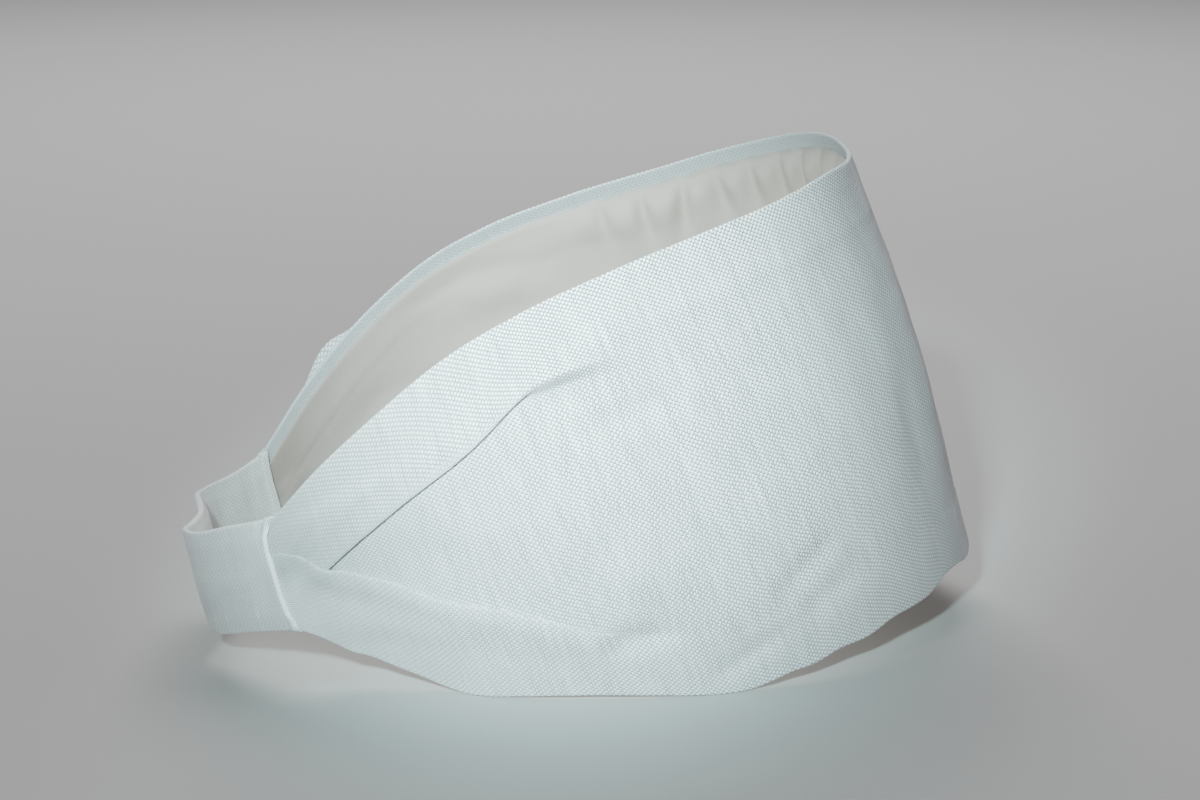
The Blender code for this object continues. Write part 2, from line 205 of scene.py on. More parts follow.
MOUTH_BOW = tuple(EdgeBow(*row) for row in (
    (0.000, 0.3), (0.035, 1.2), (0.135, 2.9), (0.267, 3.3), (0.374, 3.0),
    (0.535, 2.8), (0.689, 2.5), (0.826, 1.7), (0.930, 0.8), (1.000, 0.2),
))


def smooth_step(value: np.ndarray) -> np.ndarray:
    """0 below zero, 1 above one, and an even S between."""
    part = np.clip(value, 0.0, 1.0)
    return part * part * (3.0 - 2.0 * part)


def rising(value: np.ndarray, start: np.ndarray, span: float) -> np.ndarray:
    """0 up to the start, 1 once the value is the span past it, and an even S between."""
    return smooth_step((value - start) / span)


def peak(value: np.ndarray, place: np.ndarray, spread: float, power: int = 2) -> np.ndarray:
    """1 at the place, falling off smoothly on both sides of it."""
    return np.exp(-(((value - place) / spread) ** power))


def round_front(share: np.ndarray, start: float, span: float) -> np.ndarray:
    """1 round the front of the head, 0 up to this share of the length from either end."""
    return rising(share, start, span) * rising(1.0 - start, share, span)


def mixed(low: np.ndarray, high: np.ndarray, part: np.ndarray) -> np.ndarray:
    """The value this part of the way from low to high."""
    return low + (high - low) * part


def soft_waves(along: np.ndarray, down: np.ndarray, size: float, seed: int, count: int = 14) -> np.ndarray:
    """A smooth uneven surface made of a few long waves.

    Args:
        along: places along the cloth, in metres.
        down: places down the cloth, in metres.
        size: the usual length of a wave, in metres.
        seed: which surface of this kind.
        count: how many waves are added up.

    Returns:
        Heights of about -1 to 1.
    """
    draw = np.random.default_rng(seed)
    total = np.zeros(np.broadcast(along, down).shape)
    for _ in range(count):
        angle = draw.uniform(0.0, math.tau)
        pace = math.tau / (size * draw.uniform(0.6, 1.8))
        start = draw.uniform(0.0, math.tau)
        total += np.sin(pace * (along * math.cos(angle) + down * math.sin(angle)) + start)
    return total / math.sqrt(2.0 * count)


class Wall:
    """Upright sections of cloth set along the loop, read by distance below the rim and height off it.

    Every array that a method takes or gives has one row for each station.
    """

    def __init__(self, rows: Sequence[Sequence[float]], shares: np.ndarray,
                 leads: tuple[np.ndarray, np.ndarray] = (np.zeros(3), np.zeros(3))) -> None:
        """Reads a table of sections smoothly at these shares of its length.

        Args:
            rows: the table, in millimetres.
            shares: where the stations stand, from 0 to 1, or a little past either end.
            leads: the ways in which the cloth goes on past its two ends.
        """
        table = np.array(rows, dtype=float)
        middles = (table[:, :3] + table[:, 3:6]) / 2.0
        lengths = np.linalg.norm(np.diff(middles, axis=0), axis=1)
        self.length = lengths.sum() * MM
        self.shares = shares
        knots = np.concatenate([[0.0], np.cumsum(lengths)]) / lengths.sum()
        self.read = self._smooth(table, knots, np.clip(shares, 0.0, 1.0)) * MM
        before = np.maximum(-shares, 0.0)[:, None] * self.length * leads[0]
        after = np.maximum(shares - 1.0, 0.0)[:, None] * self.length * leads[1]
        self.rims = self.read[:, :3] + before + after
        self.feet = self.read[:, 3:6] + before + after
        self.measure()

    def measure(self) -> None:
        """Works out the sections' heights and ways from their rims and feet."""
        self.feet[:, 2] = np.maximum(self.feet[:, 2], 0.0)
        self.heights = np.linalg.norm(self.feet - self.rims, axis=1)[:, None]
        self.down = (self.feet - self.rims) / self.heights
        along = np.gradient((self.rims + self.feet) / 2.0, axis=0)
        outward = np.cross(self.down, along)
        self.outward = outward / np.linalg.norm(outward, axis=1)[:, None]
        self.from_end = (np.minimum(self.shares, 1.0 - self.shares) * self.length)[:, None]

    @staticmethod
    def _smooth(table: np.ndarray, knots: np.ndarray, shares: np.ndarray) -> np.ndarray:
        """A smooth curve through the table's rows, read at these shares.

        Args:
            table: one row for each knot.
            knots: the rows' shares of the length.
            shares: where the curve is read.

        Returns:
            One row for each share.
        """
        spans = np.diff(knots)
        slopes = np.diff(table, axis=0) / spans[:, None]
        before, after = spans[:-1, None], spans[1:, None]
        inner = (slopes[:-1] * after + slopes[1:] * before) / (before + after)
        tangents = np.vstack([slopes[:1], inner, slopes[-1:]])
        span = np.clip(np.searchsorted(knots, shares, side="right") - 1, 0, len(spans) - 1)
        reach = spans[span][:, None]
        part = (shares - knots[span])[:, None] / reach
        return (
            (2.0 * part**3 - 3.0 * part**2 + 1.0) * table[span]
            + (part**3 - 2.0 * part**2 + part) * reach * tangents[span]
            + (3.0 * part**2 - 2.0 * part**3) * table[span + 1]
            + (part**3 - part**2) * reach * tangents[span + 1]
        )

    def place(self, below: np.ndarray, proud: np.ndarray) -> np.ndarray:
        """Points this far below the rim and this far outside the outer face.

        Args:
            below: one row of distances for each station, in metres.
            proud: the heights that go with them, in metres.

        Returns:
            Points with one row for each station and one column for each distance.
        """
        return (
            self.rims[:, None]
            + self.down[:, None] * below[..., None]
            + self.outward[:, None] * proud[..., None]
        )


def mouth_way(end: CasingRow, following: CasingRow) -> np.ndarray:
    """The way into the casing at one of its mouths, from its last row and the one before.

    Args:
        end: the row at the mouth.
        following: the row next to it.

    Returns:
        A way of length 1.
    """
    step = np.array(following) - np.array(end)
    way = step[:3] + step[3:]
    return way / np.linalg.norm(way)


def pressed_in(creases: Sequence[Crease], wall: Wall, below: np.ndarray) -> np.ndarray:
    """How far these creases press the cloth in at each place below the rim, in metres.

    Args:
        creases: the creases.
        wall: the wall that they lie on.
        below: distances below the rim, in metres.

    Returns:
        One depth for each place, below zero where the cloth swells out.
    """
    run = wall.shares[:, None] * wall.length
    total = 0.0 * below
    for crease in creases:
        ahead = (crease.to_share - crease.from_share) * wall.length / 2.0
        drop = (crease.to_below - crease.from_below) * MM / 2.0
        half = math.hypot(ahead, drop)
        from_middle = run - crease.from_share * wall.length - ahead
        from_level = below - crease.from_below * MM - drop
        along = (from_middle * ahead + from_level * drop) / half**2
        across = (from_middle * drop - from_level * ahead) / (half * crease.width * MM)
        total = total + crease.depth * MM * np.exp(-(along**4) - across**2)
    return total


class PanelWall(Wall):
    """The wall that the panel and its lining share, with its swelling, its hollows and its creases."""

    HEM = 16.0 * MM
    HEM_STEP = 0.22 * MM
    HEM_FADE = 3.2 * MM

    CALM_END = 12.0 * MM
    RIPPLE = 0.32 * MM
    RIPPLE_SIZE = 55.0 * MM
    FINE_RIPPLE = 0.10 * MM
    FINE_RIPPLE_SIZE = 17.0 * MM

    def __init__(self, shares: np.ndarray) -> None:
        """Sets the panel's table at these shares of its length.

        Args:
            shares: where the stations stand.
        """
        super().__init__(PANEL_ROWS, shares, (mouth_way(CASING_ROWS[-1], CASING_ROWS[-2]),
                                              mouth_way(CASING_ROWS[0], CASING_ROWS[1])))
        lifts = np.array(FOOT_LIFTS)
        self.feet[:, 2] += self._smooth(lifts[:, 1:], lifts[:, 0], np.clip(shares, 0.0, 1.0))[:, 0] * MM
        self.measure()
        self.bellies = self.read[:, 6:7]
        self.high_folds = self.read[:, 7:8]
        self.low_folds = self.read[:, 8:9]

    def swell(self, below: np.ndarray) -> np.ndarray:
        """How far the cloth stands outside the straight line from rim to foot.

        Args:
            below: distances below the rim, in metres.

        Returns:
            One distance for each place, in metres.
        """
        part = below / self.heights
        run = self.shares[:, None] * self.length
        total = self.bellies * 4.0 * part * (1.0 - part) - pressed_in(PANEL_CREASES, self, below)
        from_rim = np.minimum(below, self.heights - below)
        total = total + self.HEM_STEP * (1.0 - rising(from_rim, self.HEM, self.HEM_FADE))
        calm = rising(self.from_end, 0.0, self.CALM_END)
        total = total + calm * self.RIPPLE * soft_waves(run, below, self.RIPPLE_SIZE, 11)
        return total + calm * self.FINE_RIPPLE * soft_waves(run, below, self.FINE_RIPPLE_SIZE, 12, 24)

    def place(self, below: np.ndarray, proud: np.ndarray) -> np.ndarray:
        """Points this far below the rim and this far outside the swelling wall."""
        return super().place(below, proud + self.swell(below))


def grid_mesh(name: str, points: np.ndarray, across: np.ndarray, along: np.ndarray,
              marks: dict[str, np.ndarray], closed: bool = False) -> bpy.types.Object:
    """Makes a sheet of cloth from rows of points, with the cut cloth's own metres as its UV map.

    Args:
        name: the piece's name.
        points: one row for each station and one column for each place down the cloth.
        across: the distance down the flat cloth at every point, in metres.
        along: the distance along the flat cloth at every point, in metres.
        marks: values of every point that its finish reads, by their attributes' names.
        closed: whether the last column joins the first, as in a tube.

    Returns:
        The new object, in the scene.
    """
    rows, columns = points.shape[:2]
    spans = columns if closed else columns - 1
    row, column = np.meshgrid(np.arange(rows - 1), np.arange(spans), indexing="ij")
    corner_rows, corner_columns = row[..., None] + [0, 0, 1, 1], column[..., None] + [0, 1, 1, 0]
    faces = (corner_rows * columns + corner_columns % columns).reshape(-1, 4)
    mesh = bpy.data.meshes.new(name)
    mesh.from_pydata(points.reshape(-1, 3).tolist(), [], faces.tolist())
    flat = np.stack([along[corner_rows, column[..., None]],
                     across[corner_rows, np.minimum(corner_columns, across.shape[1] - 1)]], axis=-1)
    mesh.uv_layers.new(name="cloth").data.foreach_set("uv", flat.reshape(-1).astype(np.float32))
    for mark, values in marks.items():
        data = mesh.attributes.new(mark, "FLOAT", "POINT").data
        data.foreach_set("value", values.reshape(-1).astype(np.float32))
    mesh.validate()
    piece = bpy.data.objects.new(name, mesh)
    bpy.context.scene.collection.objects.link(piece)
    return piece


def thicken(piece: bpy.types.Object, thickness: float, offset: float = 0.0) -> None:
    """Gives a sheet its thickness, applies it, keeps it above the floor and shades it smooth.

    Args:
        piece: the sheet.
        thickness: the cloth's thickness, in metres.
        offset: where the sheet lies in it, from -1 for its outer face to 1 for its inner face.
    """
    bpy.ops.object.select_all(action="DESELECT")
    piece.select_set(True)
    bpy.context.view_layer.objects.active = piece
    solid = piece.modifiers.new("thickness", "SOLIDIFY")
    solid.thickness = thickness
    solid.offset = offset
    solid.use_even_offset = False
    bpy.ops.object.modifier_apply(modifier=solid.name)
    for vertex in piece.data.vertices:
        vertex.co.z = max(vertex.co.z, 0.0)
    bpy.ops.object.shade_smooth()


def flat_lengths(points: np.ndarray) -> np.ndarray:
    """Distance along the cloth from the first column to each column."""
    steps = np.linalg.norm(np.diff(points, axis=1), axis=2)
    return np.concatenate([np.zeros((len(points), 1)), np.cumsum(steps, axis=1)], axis=1)


def eased(values: np.ndarray, span: int) -> np.ndarray:
    """The values with each column's jumps spread over this many stations, twice.

    Args:
        values: one row for each station.
        span: an odd number of stations.

    Returns:
        Values of the same shape.
    """
    for _ in range(2):
        padded = np.pad(values, ((span // 2, span // 2), (0, 0)), mode="edge")
        values = np.mean([padded[start:start + len(values)] for start in range(span)], axis=0)
    return values


class Sketch:
    """A node tree with short calls for the nodes that the finishes use."""

    def __init__(self, tree: bpy.types.NodeTree) -> None:
        """Works on this tree."""
        self.tree = tree

    def node(self, kind: str, **settings: object) -> bpy.types.Node:
        """Adds a node of this kind with these settings.

        Args:
            kind: the node's type.
            settings: values of its properties.

        Returns:
            The new node.
        """
        new = self.tree.nodes.new(kind)
        for key, value in settings.items():
            setattr(new, key, value)
        return new

    def feed(self, socket: bpy.types.NodeSocket, value: object) -> None:
        """Links a socket to another, or sets its value.

        Args:
            socket: an input.
            value: another node's output, or a constant.
        """
        if isinstance(value, bpy.types.NodeSocket):
            self.tree.links.new(value, socket)
        elif isinstance(value, tuple) and len(value) == 3 and socket.type == "RGBA":
            socket.default_value = (*value, 1.0)
        else:
            socket.default_value = value

    def math(self, operation: str, *values: object) -> bpy.types.NodeSocket:
        """A Math node's result for these inputs.

        Args:
            operation: what it works out.
            values: its inputs, in order.

        Returns:
            Its output.
        """
        new = self.node("ShaderNodeMath", operation=operation)
        for socket, value in zip(new.inputs, values):
            self.feed(socket, value)
        return new.outputs[0]

    def blend(self, factor: object, low: object, high: object, kind: str = "MIX") -> bpy.types.NodeSocket:
        """A colour mixed from two others.

        Args:
            factor: how much of the second.
            low: the first colour.
            high: the second colour.
            kind: the way of mixing.

        Returns:
            The mixed colour.
        """
        new = self.node("ShaderNodeMix", data_type="RGBA", blend_type=kind)
        self.feed(new.inputs[0], factor)
        self.feed(new.inputs[6], low)
        self.feed(new.inputs[7], high)
        return new.outputs[2]

    def noise(self, vector: object, scale: float, detail: float = 2.0) -> bpy.types.NodeSocket:
        """A noise value of about 0 to 1.

        Args:
            vector: the place.
            scale: how fine it is.
            detail: how many finer layers it has.

        Returns:
            Its value.
        """
        new = self.node("ShaderNodeTexNoise")
        self.feed(new.inputs["Vector"], vector)
        new.inputs["Scale"].default_value = scale
        new.inputs["Detail"].default_value = detail
        return new.outputs[0]

    def vector(self, x: object, y: object, z: object = 0.0) -> bpy.types.NodeSocket:
        """A vector from three values.

        Args:
            x: the first.
            y: the second.
            z: the third.

        Returns:
            The vector.
        """
        new = self.node("ShaderNodeCombineXYZ")
        for socket, value in zip(new.inputs, (x, y, z)):
            self.feed(socket, value)
        return new.outputs[0]

    def split(self, vector: object) -> bpy.types.Node:
        """A node whose outputs are the vector's three parts.

        Args:
            vector: the vector.

        Returns:
            The node.
        """
        new = self.node("ShaderNodeSeparateXYZ")
        self.feed(new.inputs[0], vector)
        return new

    def ramp(self, value: object, low: float, high: float, start: float = 0.0, end: float = 1.0
             ) -> bpy.types.NodeSocket:
        """The value moved smoothly from low..high to start..end.

        Args:
            value: the value.
            low: where it starts to count.
            high: where it stops.
            start: the result at low.
            end: the result at high.

        Returns:
            The moved value.
        """
        new = self.node("ShaderNodeMapRange", interpolation_type="SMOOTHSTEP")
        for socket, part in zip(new.inputs, (value, low, high, start, end)):
            self.feed(socket, part)
        return new.outputs[0]

    def group(self, tree: bpy.types.NodeTree, **values: object) -> bpy.types.Node:
        """Places a node group; an input's name has _ where its socket's name has a space.

        Args:
            tree: the group.
            values: what its inputs are fed.

        Returns:
            The placed node.
        """
        new = self.node("ShaderNodeGroup", node_tree=tree)
        for key, value in values.items():
            self.feed(new.inputs[key.replace("_", " ")], value)
        return new


def new_group(name: str, inputs: Sequence[tuple[str, str, object]], outputs: Sequence[str]
              ) -> tuple[Sketch, object, object]:
    """Starts a shader node group.

    Args:
        name: the group's name.
        inputs: each input's name, socket type and default value, None where it has none.
        outputs: the names of its outputs, all values.

    Returns:
        The sketch of its tree, its input node's sockets and its output node's sockets.
    """
    tree = bpy.data.node_groups.new(name, "ShaderNodeTree")
    for label, kind, value in inputs:
        socket = tree.interface.new_socket(label, in_out="INPUT", socket_type=kind)
        if value is not None:
            socket.default_value = value
    for label in outputs:
        tree.interface.new_socket(label, in_out="OUTPUT", socket_type="NodeSocketFloat")
    sketch = Sketch(tree)
    return sketch, sketch.node("NodeGroupInput").outputs, sketch.node("NodeGroupOutput").inputs


# The plain weave: how its yarns wander, swell into slubs, rise and dip, in pitches and parts of them
DRIFT_SCALE = 45.0
DRIFT_GAIN = 3.0
YARN_STEP = 7.31
YARN_CHANGE = 0.045
SLUB_FROM = 0.68
SLUB_GAIN = 2.0
THICKNESS_GAIN = 4.0
UP_YARN = 1.04
CROSS_YARN = 0.88
YARN_WAVE = 0.30
YARN_CROWN = 0.55
FACE_GAIN = 4.0
USUAL_YARN = 0.96


def plain_weave_group() -> bpy.types.NodeTree:
    """Plain weave with uneven yarns, drawn in the flat cloth's own metres.

    Returns:
        A group whose Height is the yarns' relief, Gap the holes between them, Slub how thick the
        upper yarn is at that place, and Face 1 on the upright yarns and -1 on those along the cloth.
    """
    sketch, given, result = new_group(
        "plain_weave",
        [("Vector", "NodeSocketVector", None), ("Along Pitch", "NodeSocketFloat", 0.79 * MM),
         ("Down Pitch", "NodeSocketFloat", 0.69 * MM), ("Unevenness", "NodeSocketFloat", 0.25)],
        ["Height", "Gap", "Slub", "Face"])
    m = sketch.math
    flat = sketch.split(given["Vector"])
    drift = sketch.noise(given["Vector"], DRIFT_SCALE, 3.0)
    drift = m("MULTIPLY", m("SUBTRACT", drift, 0.5), m("MULTIPLY", given["Unevenness"], DRIFT_GAIN))
    along = m("ADD", m("DIVIDE", flat.outputs[0], given["Along Pitch"]), drift)
    down = m("SUBTRACT", m("DIVIDE", flat.outputs[1], given["Down Pitch"]), drift)
    along_cell, down_cell = m("FLOOR", along), m("FLOOR", down)
    along_part = m("SUBTRACT", m("FRACT", along), 0.5)
    down_part = m("SUBTRACT", m("FRACT", down), 0.5)
    turn = m("SUBTRACT", 1.0, m("MULTIPLY", m("FLOORED_MODULO", m("ADD", along_cell, down_cell), 2.0), 2.0))

    def thickness(cell: object, way: object, offset: float, usual: float) -> bpy.types.NodeSocket:
        """How thick a yarn is here, from its own number and the place along it, with a few thick slubs.

        Args:
            cell: the yarn's number.
            way: the place along it, in pitches.
            offset: which set of yarns.
            usual: the usual thickness, in pitches.

        Returns:
            The thickness, in pitches.
        """
        place = sketch.vector(m("MULTIPLY", cell, YARN_STEP), m("MULTIPLY", way, YARN_CHANGE), offset)
        value = sketch.noise(place, 1.0, 1.0)
        slub = m("MULTIPLY", m("MAXIMUM", m("SUBTRACT", value, SLUB_FROM), 0.0), SLUB_GAIN)
        value = m("ADD", m("SUBTRACT", value, 0.5), slub)
        return m("MULTIPLY_ADD", value, m("MULTIPLY", given["Unevenness"], THICKNESS_GAIN), usual)

    def profile(part: object, size: object) -> bpy.types.NodeSocket:
        """The round top of a yarn across its width."""
        narrow = m("DIVIDE", m("MULTIPLY", part, 2.0), size)
        return m("MAXIMUM", m("SUBTRACT", 1.0, m("MULTIPLY", narrow, narrow)), 0.0)

    up_yarn = thickness(along_cell, down, 3.0, UP_YARN)
    cross_yarn = thickness(down_cell, along, 17.0, CROSS_YARN)
    up_top = profile(along_part, up_yarn)
    cross_top = profile(down_part, cross_yarn)
    up_wave = m("MULTIPLY", turn, m("COSINE", m("MULTIPLY", down_part, math.pi)))
    cross_wave = m("MULTIPLY", turn, m("COSINE", m("MULTIPLY", along_part, math.pi)))
    up_height = m("MULTIPLY_ADD", up_wave, YARN_WAVE, m("MULTIPLY", up_top, YARN_CROWN))
    cross_height = m("MULTIPLY_ADD", cross_wave, -YARN_WAVE, m("MULTIPLY", cross_top, YARN_CROWN))
    sketch.feed(result["Height"], m("MAXIMUM", up_height, cross_height))
    cover = m("MAXIMUM", up_top, cross_top)
    sketch.feed(result["Gap"], sketch.ramp(cover, 0.15, 0.75, 1.0, 0.0))
    lead = m("SUBTRACT", up_height, cross_height)
    sketch.feed(result["Face"], m("MINIMUM", m("MAXIMUM", m("MULTIPLY", lead, FACE_GAIN), -1.0), 1.0))
    upper = m("GREATER_THAN", lead, 0.0)
    slub = m("MULTIPLY_ADD", m("SUBTRACT", up_yarn, cross_yarn), upper, cross_yarn)
    sketch.feed(result["Slub"], m("SUBTRACT", slub, USUAL_YARN))
    return sketch.tree


def cloth_shade_group() -> bpy.types.NodeTree:
    """Blotches, fine fuzz and lint that keep white cloth from looking flat.

    Returns:
        A group whose Shade is about 1 and Fuzz a fine height.
    """
    sketch, given, result = new_group(
        "cloth_shade",
        [("Vector", "NodeSocketVector", None), ("Blotch", "NodeSocketFloat", 0.05),
         ("Grain", "NodeSocketFloat", 0.05)],
        ["Shade", "Fuzz"])
    m = sketch.math
    broad = m("SUBTRACT", sketch.noise(given["Vector"], 28.0, 2.0), 0.5)
    middle = m("SUBTRACT", sketch.noise(given["Vector"], 130.0, 3.0), 0.5)
    fine = m("SUBTRACT", sketch.noise(given["Vector"], 2600.0, 3.0), 0.5)
    blotch = m("MULTIPLY", m("MULTIPLY_ADD", middle, 0.6, broad), given["Blotch"])
    grain = m("MULTIPLY", fine, given["Grain"])
    sketch.feed(result["Shade"], m("ADD", m("ADD", 1.0, blotch), grain))
    sketch.feed(result["Fuzz"], fine)
    return sketch.tree


@dataclass(frozen=True)
class Weave:
    """The size and evenness of a cloth's plain weave."""

    along_pitch: float = 0.79 * MM
    down_pitch: float = 0.655 * MM
    unevenness: float = 0.25
    relief: float = 0.22 * MM
    # Painted light in the weave: the gaps between the yarns are darkened with painted shade, the yarns'
    # crowns are painted lighter and their lower parts darker, and one set of yarns gets a painted sheen.
    gap_painted_shade: float = 0.70
    crown_painted_light: float = 0.34
    face_painted_sheen: float = 0.46
    slub_tone: float = 0.35


@dataclass(frozen=True)
class ClothFinish:
    """A matt woven cloth: its colour, its weave, and how uneven its colour is."""

    name: str
    colour: tuple[float, float, float]
    weave: Weave
    # Colour of the painted shade in the gaps between the yarns.
    painted_gap_shade_colour: tuple[float, float, float] = (0.20, 0.22, 0.23)
    blotch: float = 0.05
    grain: float = 0.06
    roughness: float = 0.88
    sheen: float = 0.25
    sheen_roughness: float = 0.5
    specular: float = 0.3
    fuzz: float = 0.25
    # How strongly the edge mark changes the colour: lighter hems and edges, painted shade at the gathered
    # ends and round the front, and a painted highlight on the casing's piping.
    edge_and_painted_light: float = 0.0
    fading_weave: bool = False
    weave_tree: object = None
    shade_tree: object = None

    def material(self) -> bpy.types.Material:
        """Builds the cloth's material from its UV map.

        Returns:
            The new material.
        """
        made = bpy.data.materials.new(self.name)
        made.use_nodes = True
        sketch = Sketch(made.node_tree)
        shader = made.node_tree.nodes["Principled BSDF"]
        cloth = sketch.node("ShaderNodeUVMap", uv_map="cloth").outputs[0]
        weave = sketch.group(self.weave_tree, Vector=cloth, Along_Pitch=self.weave.along_pitch,
                             Down_Pitch=self.weave.down_pitch, Unevenness=self.weave.unevenness)
        shade = sketch.group(self.shade_tree, Vector=cloth, Blotch=self.blotch, Grain=self.grain)
        # Painted highlight on the yarns' crowns and painted sheen on one set of yarns; below, painted shade
        # darkens the gaps between them.
        crown = sketch.math("SUBTRACT", weave.outputs["Height"], 0.5)
        woven = sketch.math("MULTIPLY", weave.outputs["Face"], self.weave.face_painted_sheen)
        woven = sketch.math("MULTIPLY_ADD", crown, self.weave.crown_painted_light, woven)
        woven = sketch.math("MULTIPLY_ADD", weave.outputs["Slub"], self.weave.slub_tone, woven)
        holes = sketch.math("MULTIPLY", weave.outputs["Gap"], self.weave.gap_painted_shade)
        if self.fading_weave:
            show = sketch.node("ShaderNodeAttribute", attribute_name="show").outputs["Fac"]
            woven, holes = sketch.math("MULTIPLY", woven, show), sketch.math("MULTIPLY", holes, show)
        tone = sketch.math("ADD", shade.outputs["Shade"], woven)
        # The edge mark brings in painted shade and painted highlights besides lighter hems and edges.
        if self.edge_and_painted_light:
            edge = sketch.node("ShaderNodeAttribute", attribute_name="edge").outputs["Fac"]
            tone = sketch.math("MULTIPLY_ADD", edge, self.edge_and_painted_light, tone)
        bare = sketch.blend(holes, self.colour, self.painted_gap_shade_colour)
        grey = sketch.vector(tone, tone, tone)
        sketch.feed(shader.inputs["Base Color"], sketch.blend(1.0, bare, grey, "MULTIPLY"))
        height = sketch.math("MULTIPLY_ADD", shade.outputs["Fuzz"], self.fuzz, weave.outputs["Height"])
        bump = sketch.node("ShaderNodeBump")
        bump.inputs["Strength"].default_value = 1.0
        bump.inputs["Distance"].default_value = self.weave.relief
        sketch.feed(bump.inputs["Height"], height)
        sketch.feed(shader.inputs["Normal"], bump.outputs[0])
        shader.inputs["Roughness"].default_value = self.roughness
        shader.inputs["Sheen Weight"].default_value = self.sheen
        shader.inputs["Sheen Roughness"].default_value = self.sheen_roughness
        shader.inputs["Specular IOR Level"].default_value = self.specular
        return made


@dataclass(frozen=True)
class PaleFloor:
    """The plain matt floor of the studio."""

    colour: tuple[float, float, float] = (0.515, 0.515, 0.505)
    roughness: float = 0.9
    specular: float = 0.1

    def material(self) -> bpy.types.Material:
        """Builds the floor's material.

        Returns:
            The new material.
        """
        made = bpy.data.materials.new("pale_floor")
        made.use_nodes = True
        shader = made.node_tree.nodes["Principled BSDF"]
        shader.inputs["Base Color"].default_value = (*self.colour, 1.0)
        shader.inputs["Roughness"].default_value = self.roughness
        shader.inputs["Specular IOR Level"].default_value = self.specular
        return made


class Tuck(Enum):
    """Which tuck of the panel: the one below the top rim or the one above the bottom rim."""

    HIGH = "high"
    LOW = "low"


@dataclass
class Section:
    """The cloth's way down every section of the wall, gathered column by column."""

    height: np.ndarray
    below: list[np.ndarray] = field(default_factory=list)
    proud: list[np.ndarray] = field(default_factory=list)

    def add(self, place: np.ndarray, level: np.ndarray) -> None:
        """Adds one column at this distance below the rim and this height."""
        self.below.append(place + 0.0 * self.height)
        self.proud.append(level + 0.0 * self.height)

    def rows(self) -> tuple[np.ndarray, np.ndarray]:
        """Distances below the rim and heights, with one row for each station."""
        return np.concatenate(self.below, axis=1), np.concatenate(self.proud, axis=1)

    def tuck(self, folded: Sequence[tuple[np.ndarray, np.ndarray]], edge: np.ndarray, half: float,
             levels: tuple[np.ndarray, np.ndarray], shut: np.ndarray) -> None:
        """Adds a tuck, whose cloth makes one soft step across its edge where it has opened out.

        Args:
            folded: places and heights of its columns where it is folded.
            edge: the fold that shows.
            half: half the width of its cloth where it has opened out.
            levels: the heights of the open cloth above its edge and below it.
            shut: 1 where it is folded, 0 where it has opened out.
        """
        for (place, level), part in zip(folded, np.linspace(0.0, 1.0, len(folded))):
            step = mixed(levels[0], levels[1], smooth_step(part))
            self.add(mixed(edge + (2.0 * part - 1.0) * half, place, shut), mixed(step, level, shut))


